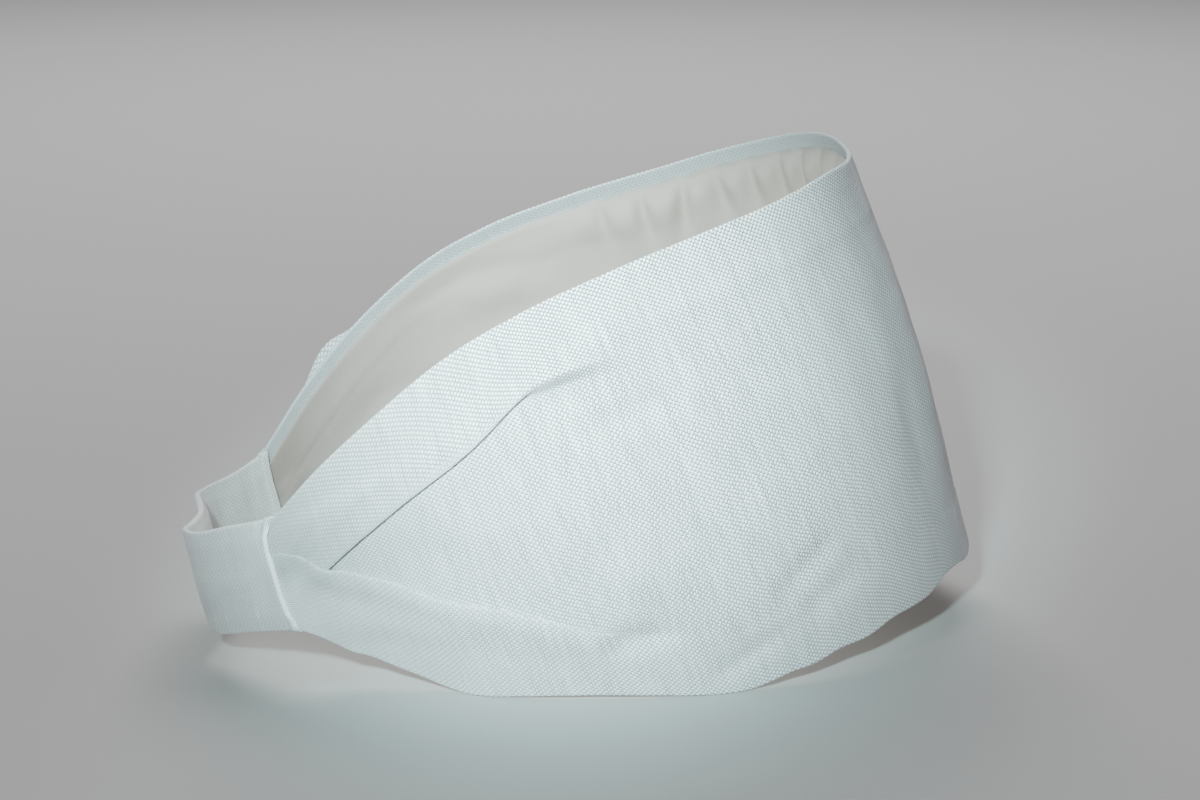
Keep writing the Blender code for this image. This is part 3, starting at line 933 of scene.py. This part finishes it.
@dataclass
class LinenPanel:
    """The tall outer panel of linen, one rectangle of cloth hemmed at both rims and tucked at both ends."""

    stations: int = 300
    end_crowding: float = 0.045
    inside_casing: float = 5.6 * MM
    cloth: float = 0.50 * MM
    cut_width: float = 122.0 * MM
    cut_length: float = 446.0 * MM
    hem: float = 15.0 * MM
    hem_fade: float = 1.6 * MM
    hem_seen: float = 7.5 * MM
    hem_face: float = -1.05 * MM
    roll_end: float = 1.2 * MM
    hem_back: float = -8.0
    # Painted shade at the gathered ends and round the front: how dark it is, how far it reaches and where it
    # fades.
    end_painted_shade: float = 9.5
    end_reach: float = 75.0 * MM
    front_painted_shade: float = 8.5
    fold_worn: float = 1.3 * MM
    row_easing: int = 15
    painted_shade_loss: float = 0.75
    painted_shade_fades: tuple[float, float] = (0.45, 0.35)
    painted_shade_front: tuple[float, float] = (0.33, 0.12)
    weave_ends: tuple[float, float, float] = (0.10, 0.25, 0.92)
    weave_front: float = 0.64
    weave_front_span: tuple[float, float] = (0.31, 0.13)
    weave_at_rim: float = 1.22
    weave_fall: float = 0.55
    weave_on_hem: float = 0.14
    worn_fold: float = 0.85
    worn_low_fold: float = 0.4
    upright_lean: float = 0.14
    crosswise_lean: float = 0.07
    flap_columns: int = 24
    middle_columns: int = 36
    low_columns: int = 22
    rim_crowding: float = 1.2
    high_shuts: tuple[float, float] = (2.8 * MM, 2.6 * MM)
    low_shuts: tuple[float, float] = (1.5 * MM, 3.0 * MM)
    flap_rises: tuple[float, float] = (0.5 * MM, 2.3 * MM)
    layer: float = 0.56 * MM
    pressed_layer: float = 0.12 * MM
    pressed_reach: float = 14.0 * MM
    inner_margins: tuple[float, float] = (2.5 * MM, 2.0 * MM)
    edge_lifts: tuple[float, float] = (25.0 * MM, 60.0 * MM)
    squeeze: float = 1.3 * MM
    open_half: float = 2.1 * MM
    edge_lift: float = 0.22 * MM
    roll_lift: float = 1.5 * MM
    roll_place: float = 0.197
    roll_spread: float = 0.026
    lip: float = 0.75 * MM
    lip_reach: float = 16.0 * MM
    puff_place: float = 0.936
    puff_spread: float = 0.020
    puff_rise: float = 5.2 * MM
    puff_depth: float = 3.2 * MM
    piece: bpy.types.Object = field(init=False, default=None)

    def wall(self) -> PanelWall:
        """The panel's wall, with stations crowded towards the tucked ends and a few inside the casing.

        Returns:
            The wall.
        """
        even = np.linspace(0.0, 1.0, self.stations)
        shares = even - self.end_crowding * np.sin(math.tau * even)
        past = np.linspace(self.inside_casing, self.inside_casing / 6.0, 6) / self.cut_length
        return PanelWall(np.concatenate([-past, shares, 1.0 + past[::-1]]))

    def tuck_depth(self, wall: PanelWall) -> np.ndarray:
        """How deep both tucks are at each station: what the cut width has over the wall's height."""
        return np.maximum((self.cut_width - wall.heights) / 4.0, 0.0)

    def folded_tuck(self, tuck: Tuck, edge: np.ndarray, inner: np.ndarray, outer: np.ndarray,
                    middle: Callable[[np.ndarray], np.ndarray], base: np.ndarray, beside: np.ndarray
                    ) -> list[tuple[np.ndarray, np.ndarray]]:
        """The columns of a tuck where it is folded flat, in the order in which they come down the cloth.

        Args:
            tuck: which tuck.
            edge: the fold that shows.
            inner: the hidden fold.
            outer: the level of the flap that ends at the edge.
            middle: gives the level of the hidden return at a distance below the rim.
            base: the level of the cloth beside the tuck.
            beside: where the tuck goes over into that cloth.

        Returns:
            Distances below the rim and heights of the columns.
        """
        turn = 1.0 if tuck is Tuck.HIGH else -1.0
        shown_radius, hidden_radius = (outer - middle(edge)) / 2.0, (middle(inner) - base) / 2.0
        columns = []
        for angle in np.linspace(0.0, math.pi, 7):
            columns.append((edge + turn * shown_radius * math.sin(angle),
                            (outer + middle(edge)) / 2.0 + shown_radius * math.cos(angle)))
        for part in (0.15, 0.3, 0.45, 0.6, 0.75, 0.9):
            place = mixed(edge, inner, part)
            columns.append((place, middle(place)))
        for angle in np.linspace(0.0, math.pi, 5):
            columns.append((inner - turn * hidden_radius * math.sin(angle),
                            (middle(inner) + base) / 2.0 + hidden_radius * math.cos(angle)))
        for part in (0.25, 0.5, 0.75, 1.0):
            columns.append((mixed(inner, beside, part), base))
        return columns if tuck is Tuck.HIGH else columns[::-1]

    def columns(self, wall: PanelWall) -> tuple[np.ndarray, np.ndarray]:
        """Follows the cloth down each section, through its hems and its tucks.

        Args:
            wall: the panel's wall.

        Returns:
            Distances below the rim, and heights of the cloth's middle off the outer face.
        """
        height, depth = wall.heights, self.tuck_depth(wall)
        shut, low_shut = rising(depth, *self.high_shuts), rising(depth, *self.low_shuts)
        raised = rising(depth, *self.flap_rises)
        layer = mixed(self.pressed_layer, self.layer, rising(wall.from_end, 0.0, self.pressed_reach))
        base = np.full_like(height, -self.cloth / 2.0)
        high, low = wall.high_folds, height - wall.low_folds
        high_inner = np.maximum(high - depth, self.inner_margins[0])
        low_inner = np.minimum(low + depth, height - self.inner_margins[1])
        way = wall.from_end / wall.length
        lift = self.roll_lift * peak(way, self.roll_place, self.roll_spread)
        lift = lift + self.edge_lift * rising(wall.from_end, *self.edge_lifts)
        section = Section(height)

        def over_high(place: np.ndarray) -> np.ndarray:
            """How far the low tuck is lifted where it lies on the high one."""
            return 2.0 * layer * shut * rising(high - place, -4.0 * MM, 5.0 * MM)

        def high_flap(place: np.ndarray) -> np.ndarray:
            """The level of the flap above the high fold: one layer by the rim, three at the fold.

            Args:
                place: distances below the rim.

            Returns:
                One level for each station.
            """
            stack = rising(place, high_inner - 3.0 * MM, 5.0 * MM)
            edge = lift * rising(place, high - 8.0 * MM, 8.0 * MM)
            return base + (2.0 * layer * stack + edge) * raised

        def low_flap(place: np.ndarray) -> np.ndarray:
            """The level of the flap below the low fold.

            Args:
                place: distances below the rim.

            Returns:
                One level for each station.
            """
            stack = 1.0 - rising(place, low_inner, 10.0 * MM)
            lip = self.lip * peak(place, low + 2.5 * MM, 3.5 * MM)
            lip = lip * mixed(0.2, 1.0, rising(wall.from_end, 0.0, self.lip_reach))
            stacked = np.maximum(2.0 * layer * stack, 0.5 * over_high(place))
            return base + (stacked + lip) * low_shut + over_high(place)

        def rolled(out: np.ndarray) -> list[tuple[np.ndarray, np.ndarray]]:
            """Distances from the rim and heights, from inside the hem round the rim to this level.

            Args:
                out: the level of the outer cloth at the rim.

            Returns:
                The columns in that order.
            """
            radius, middle = (out - self.hem_face) / 2.0, (out + self.hem_face) / 2.0
            flat = [(place, self.hem_face) for place in np.linspace(self.hem_seen, self.roll_end, 5)]
            return flat + [(self.cloth / 2.0 + radius * (1.0 - math.sin(angle)),
                            middle + radius * math.cos(angle)) for angle in np.linspace(math.pi, 0.0, 7)]

        rim, foot = rolled(high_flap(np.zeros_like(height))), rolled(low_flap(height))
        for place, level in rim:
            section.add(place, level)
        start, end = rim[-1][0], mixed(high - self.open_half, high, shut)
        for part in np.linspace(0.0, 1.0, self.flap_columns)[1:-1] ** self.rim_crowding:
            place = mixed(start, end, part)
            section.add(place, high_flap(np.minimum(place, high)))
        columns = self.folded_tuck(Tuck.HIGH, high, high_inner, high_flap(high),
                                   lambda place: base + layer, base, high)
        section.tuck(columns, high, self.open_half, (high_flap(high), base), shut)
        start = mixed(high + self.open_half, high, shut)
        covered = np.clip(low, high + 1.0 * MM, low_inner - 1.5 * MM)
        end = mixed(low - self.open_half, covered, low_shut)
        for part in np.linspace(0.0, 1.0, self.middle_columns)[1:-1]:
            section.add(mixed(start, end, part), base)
        columns = self.folded_tuck(Tuck.LOW, low, low_inner, low_flap(low),
                                   lambda place: base + layer + over_high(place), base, covered)
        section.tuck(columns, low, self.open_half, (base, low_flap(low)), low_shut)
        start, end = mixed(low + self.open_half, low, low_shut), height - foot[-1][0]
        for part in 1.0 - np.linspace(1.0, 0.0, self.low_columns)[1:-1] ** self.rim_crowding:
            place = mixed(start, end, part)
            section.add(place, low_flap(np.maximum(place, low)))
        for place, level in reversed(foot):
            section.add(height - place, level)
        return section.rows()

    def puffed(self, wall: PanelWall, below: np.ndarray, proud: np.ndarray) -> tuple[np.ndarray, np.ndarray]:
        """Puffs the outer cloth up behind the far rim, near the casing.

        Args:
            wall: the panel's wall.
            below: distances below the rim.
            proud: heights off the outer face.

        Returns:
            The changed distances and heights.
        """
        here = peak(wall.shares[:, None], self.puff_place, self.puff_spread)
        flap = (proud > -0.6 * MM) * rising(below, 0.0, 2.5 * MM) * here
        rise = self.puff_rise * flap * peak(below, 3.5 * MM, 3.2 * MM)
        swell = self.puff_depth * flap * peak(below, 5.0 * MM, 6.0 * MM)
        return below - rise, proud + swell

    def build(self) -> bpy.types.Object:
        """Makes the panel's cloth.

        Returns:
            The finished piece.
        """
        wall = self.wall()
        below, proud = self.puffed(wall, *self.columns(wall))
        near_past, far_past = -wall.shares * wall.length, (wall.shares - 1.0) * wall.length
        inside = rising(near_past, 1.0 * MM, 3.0 * MM) + rising(far_past, 1.0 * MM, 3.0 * MM)
        share = 1.0 - 2.0 * self.squeeze * inside[:, None] / wall.heights
        points = wall.place(mixed(wall.heights / 2.0, below, share), proud)
        across = flat_lengths(points)
        across -= across[:, 8:9]
        across *= self.cut_width / across[:, -9:-8]
        across = eased(across, self.row_easing)
        along = np.repeat(wall.shares[:, None] * self.cut_length, below.shape[1], axis=1)
        from_rim = np.minimum(np.abs(across), np.abs(self.cut_width - across))
        hem = 1.0 - rising(from_rim, self.hem, self.hem_fade)
        # The edge mark: lighter on the hems, set darker by hem_back on the hem's back face, and elsewhere
        # darkened by painted shade at the gathered ends and round the front.
        hem = np.where(proud < -0.95 * MM, self.hem_back, hem - self.painted_shade(wall, below))
        along, across = along - self.upright_lean * across, across + self.crosswise_lean * along
        self.piece = grid_mesh("linen_panel_cloth", points, across, along,
                               {"edge": hem, "show": self.weave_show(wall, below, proud)})
        thicken(self.piece, self.cloth)
        return self.piece

    def weave_show(self, wall: PanelWall, below: np.ndarray, proud: np.ndarray) -> np.ndarray:
        """How clearly the weave shows, less at the gathered ends, round the front, low down and on the hems.

        Args:
            wall: the panel's wall.
            below: distances below the rim.
            proud: heights off the outer face.

        Returns:
            One value for each point, about 1 where it shows most.
        """
        least, near, far = self.weave_ends
        ends = least + near * rising(wall.from_end, 0.0, 26.0 * MM)
        ends = ends + far * rising(wall.from_end, 14.0 * MM, 74.0 * MM)
        front = 1.0 - self.weave_front * round_front(wall.shares[:, None], *self.weave_front_span)
        hidden = rising(proud, -0.95 * MM, 0.4 * MM)
        folded = rising(self.tuck_depth(wall), 1.0 * MM, 2.0 * MM)
        creased = peak(below, wall.high_folds, self.fold_worn)
        low_creased = peak(wall.heights - below, wall.low_folds, self.fold_worn)
        creased = np.minimum(creased + self.worn_low_fold * low_creased, 1.0)
        level = self.weave_at_rim - self.weave_fall * below / wall.heights
        level = level * mixed(self.weave_on_hem, 1.0, hidden)
        return ends * front * level * (1.0 - self.worn_fold * folded * creased)

    def painted_shade(self, wall: PanelWall, below: np.ndarray) -> np.ndarray:
        """How much painted shade darkens the cloth at its gathered ends and round the front, standing in for
        the light falling off there.

        Args:
            wall: the panel's wall.
            below: distances below the rim.

        Returns:
            One value for each point, 0 where nothing is taken off.
        """
        ends = 1.0 - rising(wall.from_end, 0.0, self.end_reach)
        ends = ends * (1.0 - self.painted_shade_loss * rising(below / wall.heights, *self.painted_shade_fades))
        return self.end_painted_shade * ends + self.front_painted_shade * round_front(wall.shares[:, None], *self.painted_shade_front)

    def dress(self, finish: ClothFinish) -> None:
        """Gives the panel its linen and says what it stands for.

        Args:
            finish: its linen.
        """
        self.piece.data.materials.append(finish.material())
        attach(self.piece, "root")
        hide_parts("linen_panel")


@dataclass
class CottonLining:
    """The cotton inside the panel, from hem to hem, puckered below its top edge round the front."""

    stations: int = 360
    cloth: float = 0.50 * MM
    cut_width: float = 131.0 * MM
    cut_length: float = 440.0 * MM
    edge: float = 4.8 * MM
    hem_end: float = 15.0 * MM
    face: float = -1.30 * MM
    on_hem: float = -1.62 * MM
    pucker_height: float = 4.6 * MM
    pucker_reach: float = 44.0 * MM
    columns: int = 60
    front_lift: float = 0.6 * MM
    valley_depth: float = 0.95
    valley_widening: float = 1.2
    slack: float = 0.9 * MM
    end_fill: float = 0.2 * MM
    # Painted shade that darkens the lining towards its ends, and how far it reaches.
    end_painted_shade: float = 8.0
    end_reach: float = 90.0 * MM
    pucker_place: float = 0.565
    pucker_spread: float = 0.185
    wrinkle: float = 0.9 * MM
    past_ends: float = 0.0100
    piece: bpy.types.Object = field(init=False, default=None)

    def puckers(self, wall: PanelWall, below: np.ndarray) -> np.ndarray:
        """How far the lining stands off the panel, in metres.

        Args:
            wall: the lining's wall.
            below: distances below the rim.

        Returns:
            One distance for each place, never below zero.
        """
        share = wall.shares[:, None]
        run = share * wall.length
        front = peak(share, self.pucker_place, self.pucker_spread, 6)
        fade = 1.0 - rising(below, self.edge, self.pucker_reach)
        rise = rising(below, self.edge - 0.5 * MM, 6.0 * MM)
        total = self.pucker_height * front * fade * rise
        for pucker in PUCKERS:
            down = (below - self.edge) / (pucker.reach * MM)
            middle = mixed(pucker.from_share, pucker.to_share, down) * wall.length
            width = pucker.half_width * MM * (1.0 + self.valley_widening * np.maximum(down, 0.0))
            deep = self.valley_depth * (1.0 - smooth_step(down - 0.1))
            total = total * (1.0 - deep * peak(run, middle, width))
        total = total - pressed_in(LINING_CREASES, wall, below) + self.front_lift * rise * front
        total = total + self.end_fill * (1.0 - rising(wall.from_end, 0.0, 9.0 * MM))
        loose = rising(below, self.edge, 12.0 * MM)
        loose = loose * rising(wall.heights - below, self.edge, 12.0 * MM)
        folds = np.maximum(soft_waves(run, below * 1.6, 46.0 * MM, 33), 0.0)
        loose = loose * rising(wall.from_end, 6.0 * MM, 25.0 * MM)
        total = total + (self.slack + self.wrinkle * folds) * loose
        return np.maximum(total, 0.0)

    def build(self) -> bpy.types.Object:
        """Makes the lining's cloth.

        Returns:
            The finished piece.
        """
        wall = PanelWall(np.linspace(-self.past_ends, 1.0 + self.past_ends, self.stations))
        height = wall.heights
        section = Section(height)
        turned = self.edge + 0.5 * self.cloth, self.on_hem + 0.9 * self.cloth
        section.add(*turned)
        for part in np.linspace(0.0, 1.0, self.columns):
            place = mixed(self.edge, height - self.edge, part)
            off_hem = rising(place, self.hem_end, 3.0 * MM)
            off_hem = off_hem * rising(height - place, self.hem_end, 3.0 * MM)
            section.add(place, mixed(self.on_hem, self.face, off_hem))
        section.add(height - turned[0], turned[1])
        below, hidden = section.rows()
        points = wall.place(below, hidden - self.puckers(wall, below))
        along = np.repeat(wall.shares[:, None] * self.cut_length, below.shape[1], axis=1)
        # The edge mark: lighter at the turned top edge, and darkened by painted shade towards the ends.
        hem = 1.0 - rising(below, self.edge, 4.0 * MM)
        hem = hem - self.end_painted_shade * (1.0 - rising(wall.from_end, 0.0, self.end_reach))
        self.piece = grid_mesh("cotton_lining_cloth", points, flat_lengths(points), along, {"edge": hem})
        thicken(self.piece, self.cloth)
        return self.piece

    def dress(self, finish: ClothFinish) -> None:
        """Gives the lining its cotton and says what it stands for.

        Args:
            finish: its cotton.
        """
        self.piece.data.materials.append(finish.material())
        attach(self.piece, "root")
        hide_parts("cotton_lining")


@dataclass
class ElasticCasing:
    """The flat tube of linen round the elastic, with a folded edge round each mouth."""

    stations: int = 150
    cloth: float = 0.50 * MM
    cut_width: float = 72.0 * MM
    cut_length: float = 125.0 * MM
    seat: float = -0.65 * MM
    half: float = 1.25 * MM
    mouth_half: float = 1.80 * MM
    flare: float = 12.0 * MM
    edge_width: float = 1.7 * MM
    edge_height: float = 0.75 * MM
    back_edge: float = 0.20 * MM
    bow_reach: float = 15.0 * MM
    far_bow: float = 0.5
    far_edge: float = 0.4
    edge_taper: float = 0.15
    edge_half: float = 0.6
    edge_face: float = 0.2
    corner: float = 1.3 * MM
    side_columns: int = 30
    turned_in: float = 3.0 * MM
    ruffle: float = 0.40 * MM
    piece: bpy.types.Object = field(init=False, default=None)

    def stations_along(self, length: float) -> tuple[np.ndarray, np.ndarray, np.ndarray]:
        """Where the cloth's rings stand, from inside one mouth over its edges to inside the other.

        Args:
            length: the casing's length, in metres.

        Returns:
            Shares of the length, half thicknesses of the tube, and how far each ring stands up or
            down in the folded edge, from -1 to 1.
        """
        radius = self.edge_width / 2.0
        roll, fall = np.linspace(math.pi, 0.0, 8), np.linspace(0.0, math.pi / 2.0, 5)[1:]
        inside = np.linspace(self.turned_in, 1.4 * radius, 3)
        run = np.linspace(1.15 * self.edge_width, length / 2.0, self.stations // 2)
        distances = np.concatenate(
            [inside, radius * (1.0 - np.sin(roll)), radius * (1.0 + np.sin(fall)), run])
        halves = mixed(self.mouth_half, self.half, rising(distances, 0.0, self.flare))
        edges = np.concatenate([-np.ones(3), np.cos(roll), np.cos(fall), np.zeros(len(run))])
        shares = np.concatenate([distances, length - distances[::-1][1:]]) / length
        return shares, np.concatenate([halves, halves[::-1][1:]]), np.concatenate([edges, edges[::-1][1:]])

    def bowed(self, wall: Wall, part: np.ndarray) -> np.ndarray:
        """How far the cloth near each mouth is drawn back along the casing.

        Args:
            wall: the casing's wall.
            part: each place's share of the height, from the top.

        Returns:
            Moves of the points, in metres.
        """
        ways = np.where(wall.shares[:, None] < 0.5, mouth_way(CASING_ROWS[0], CASING_ROWS[1]),
                        mouth_way(CASING_ROWS[-1], CASING_ROWS[-2]))
        near = 1.0 - rising(wall.from_end, 0.0, self.bow_reach)
        near = near * np.where(wall.shares[:, None] < 0.5, self.far_bow, 1.0)
        parts, backs = np.array(MOUTH_BOW).T
        curve = np.interp(part, parts, backs) * MM
        return (near * curve)[..., None] * ways[:, None]

    def build(self) -> bpy.types.Object:
        """Makes the casing's cloth.

        Returns:
            The finished piece.
        """
        length = Wall(CASING_ROWS, np.linspace(0.0, 1.0, 40)).length
        shares, halves, edges = self.stations_along(length)
        order, index = np.unique(shares, return_inverse=True)
        wall = Wall(CASING_ROWS, shares)
        wall.outward = Wall(CASING_ROWS, order).outward[index]
        height, half = wall.heights, halves[:, None]
        edges = edges[:, None] * np.where(shares[:, None] < 0.5, self.far_edge, 1.0)
        back = -half - self.back_edge * edges
        face = half + self.edge_face * self.edge_height * edges
        thin_face, thin_back = self.edge_half * face, self.edge_half * back
        middle, reach = (thin_face + thin_back) / 2.0, (thin_face - thin_back) / 2.0
        rounding = np.minimum(reach, self.corner)
        section = Section(height)
        for first, last, thin, thick in ((0.0, 1.0, thin_face, half + self.edge_height * edges),
                                         (1.0, 0.0, thin_back, back)):
            for part in np.linspace(first, last, self.side_columns):
                full = smooth_step(min(part, 1.0 - part) / self.edge_taper)
                section.add(mixed(rounding, height - rounding, part), mixed(thin, thick, full))
            for angle in np.linspace(first, last, 7)[1:-1] * math.pi:
                place = rounding * (1.0 - math.sin(angle))
                section.add(mixed(place, height - place, last), middle + reach * math.cos(angle))
        below, proud = section.rows()
        run = wall.shares[:, None] * wall.length
        calm = rising(wall.from_end, self.edge_width, 7.0 * MM)
        folds = 0.6 * soft_waves(run * 1.7, below * 0.5, 18.0 * MM, 41, 10)
        folds = folds + soft_waves(run, below, 30.0 * MM, 42)
        ruffled = calm * self.ruffle * folds * np.clip(proud / half, -1.0, 1.0)
        points = wall.place(below, self.seat + proud + ruffled)
        points += self.bowed(wall, below / height)
        around = flat_lengths(points)
        loop_end = around[:, -1:] + np.linalg.norm(points[:, 0] - points[:, -1], axis=1)[:, None]
        around = np.concatenate([around, loop_end], axis=1)
        along = flat_lengths(points.transpose(1, 0, 2)).transpose(1, 0)
        # Painted highlight on the folded edge round each mouth.
        painted_piping_highlight = 1.0 - rising(wall.from_end, 0.8 * self.edge_width, 0.4 * self.edge_width)
        painted_piping_highlight = painted_piping_highlight * (proud > 0.0) * rising(np.minimum(below, height - below), 0.0, 2.2 * MM)
        self.piece = grid_mesh("elastic_casing_cloth", points, around, along, {"edge": painted_piping_highlight},
                               closed=True)
        thicken(self.piece, self.cloth, offset=-1.0)
        return self.piece

    def dress(self, finish: ClothFinish) -> None:
        """Gives the casing its linen and says what it stands for.

        Args:
            finish: its linen.
        """
        self.piece.data.materials.append(finish.material())
        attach(self.piece, "root")
        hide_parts("elastic_casing")


@dataclass(frozen=True)
class Lamp:
    """A soft lamp: where it hangs and aims, in metres, its power in watts, and a spot lamp's beam."""

    name: str
    kind: str
    place: tuple[float, float, float]
    aim: tuple[float, float, float]
    size: float
    power: float
    colour: tuple[float, float, float]
    beam: float = 0.0
    softness: float = 0.0


FRONT_LAMP = Lamp("front_lamp", "SPOT", (-0.185, -0.485, 0.395), (-0.008, -0.007, 0.068), 0.09, 61.0,
                  (0.70, 1.0, 1.0), math.radians(23.4), 1.0)
BACK_LAMP = Lamp("back_lamp", "AREA", (0.1, 1.1, 1.5), (0.0, 0.1, 0.0), 1.4, 32.0, (1.0, 1.0, 1.0))


@dataclass
class Studio:
    """The pale floor, the soft lights and the camera at the photograph's angle."""

    azimuth: float = math.radians(-8.0)
    elevation: float = math.radians(17.0)
    distance: float = 0.60
    target: tuple[float, float, float] = (4.0 * MM, 0.0, 66.5 * MM)
    lens: float = 61.2
    sensor: float = 36.0
    floor_size: float = 8.0
    room_colour: tuple[float, float, float] = (1.0, 0.93, 1.0)
    room_strength: float = 0.22

    def floor(self) -> None:
        """Lays the floor just under the headband."""
        bpy.ops.object.select_all(action="DESELECT")
        bpy.ops.mesh.primitive_plane_add(size=self.floor_size, location=(0.0, 0.0, 0.0))
        ground = bpy.context.object
        ground.name = "floor"
        ground.data.materials.append(PaleFloor().material())

    def light(self, lamp: Lamp) -> None:
        """Hangs a lamp and turns it to its aim.

        Args:
            lamp: the lamp.
        """
        data = bpy.data.lights.new(lamp.name, lamp.kind)
        data.energy = lamp.power
        data.color = lamp.colour
        if lamp.kind == "SPOT":
            data.spot_size = lamp.beam
            data.spot_blend = lamp.softness
            data.shadow_soft_size = lamp.size / 2.0
        else:
            data.size = lamp.size
        hung = bpy.data.objects.new(lamp.name, data)
        bpy.context.scene.collection.objects.link(hung)
        hung.location = lamp.place
        aim = np.array(lamp.aim) - np.array(lamp.place)
        tilt = math.acos(-aim[2] / np.linalg.norm(aim))
        hung.rotation_euler = (tilt, 0.0, math.atan2(aim[1], aim[0]) - math.pi / 2.0)

    def lights(self) -> None:
        """Sets the room's soft white light and the lamps."""
        room = bpy.data.worlds.new("soft_room")
        room.use_nodes = True
        back = room.node_tree.nodes["Background"]
        back.inputs[0].default_value = (*self.room_colour, 1.0)
        back.inputs[1].default_value = self.room_strength
        bpy.context.scene.world = room
        self.light(FRONT_LAMP)
        self.light(BACK_LAMP)

    def camera(self) -> None:
        """Stands the camera where the photograph was taken from."""
        data = bpy.data.cameras.new("camera")
        data.sensor_width = self.sensor
        data.lens = self.lens
        seen = bpy.data.objects.new("camera", data)
        bpy.context.scene.collection.objects.link(seen)
        level = math.cos(self.elevation) * self.distance
        seen.location = (
            self.target[0] + math.sin(self.azimuth) * level,
            self.target[1] - math.cos(self.azimuth) * level,
            self.target[2] + math.sin(self.elevation) * self.distance,
        )
        seen.rotation_euler = (math.pi / 2.0 - self.elevation, 0.0, self.azimuth)
        bpy.context.scene.camera = seen


def main() -> None:
    """Builds the headband's cloth piece by piece, then the studio round it."""
    logging.basicConfig(level=logging.INFO, format="%(message)s")
    weave, shade = plain_weave_group(), cloth_shade_group()
    linen = ClothFinish("white_linen", (0.80, 0.83, 0.845), Weave(), edge_and_painted_light=0.035, fading_weave=True,
                        weave_tree=weave, shade_tree=shade)
    cotton = ClothFinish("warm_cotton", (0.565, 0.465, 0.42),
                         Weave(along_pitch=0.42 * MM, down_pitch=0.40 * MM, unevenness=0.12, relief=0.04 * MM,
                               gap_painted_shade=0.12, crown_painted_light=0.05, face_painted_sheen=0.02, slub_tone=0.15),
                         edge_and_painted_light=0.04, weave_tree=weave, shade_tree=shade)
    # The casing's strong edge mark is a painted highlight on its piping.
    casing_linen = ClothFinish("casing_linen", (0.69, 0.70, 0.70),
                               Weave(along_pitch=0.74 * MM, down_pitch=0.74 * MM, unevenness=0.2,
                                     relief=0.022 * MM, gap_painted_shade=0.08, crown_painted_light=0.04, face_painted_sheen=0.08,
                                     slub_tone=0.4),
                               edge_and_painted_light=0.65, blotch=0.34, weave_tree=weave, shade_tree=shade)
    parts = ((LinenPanel(), linen), (CottonLining(), cotton), (ElasticCasing(), casing_linen))
    for part, finish in parts:
        piece = part.build()
        part.dress(finish)
        LOG.info("%s: %d faces", piece.name, len(piece.data.polygons))
    studio = Studio()
    studio.floor()
    studio.lights()
    studio.camera()


if __name__ == "__main__":
    main()
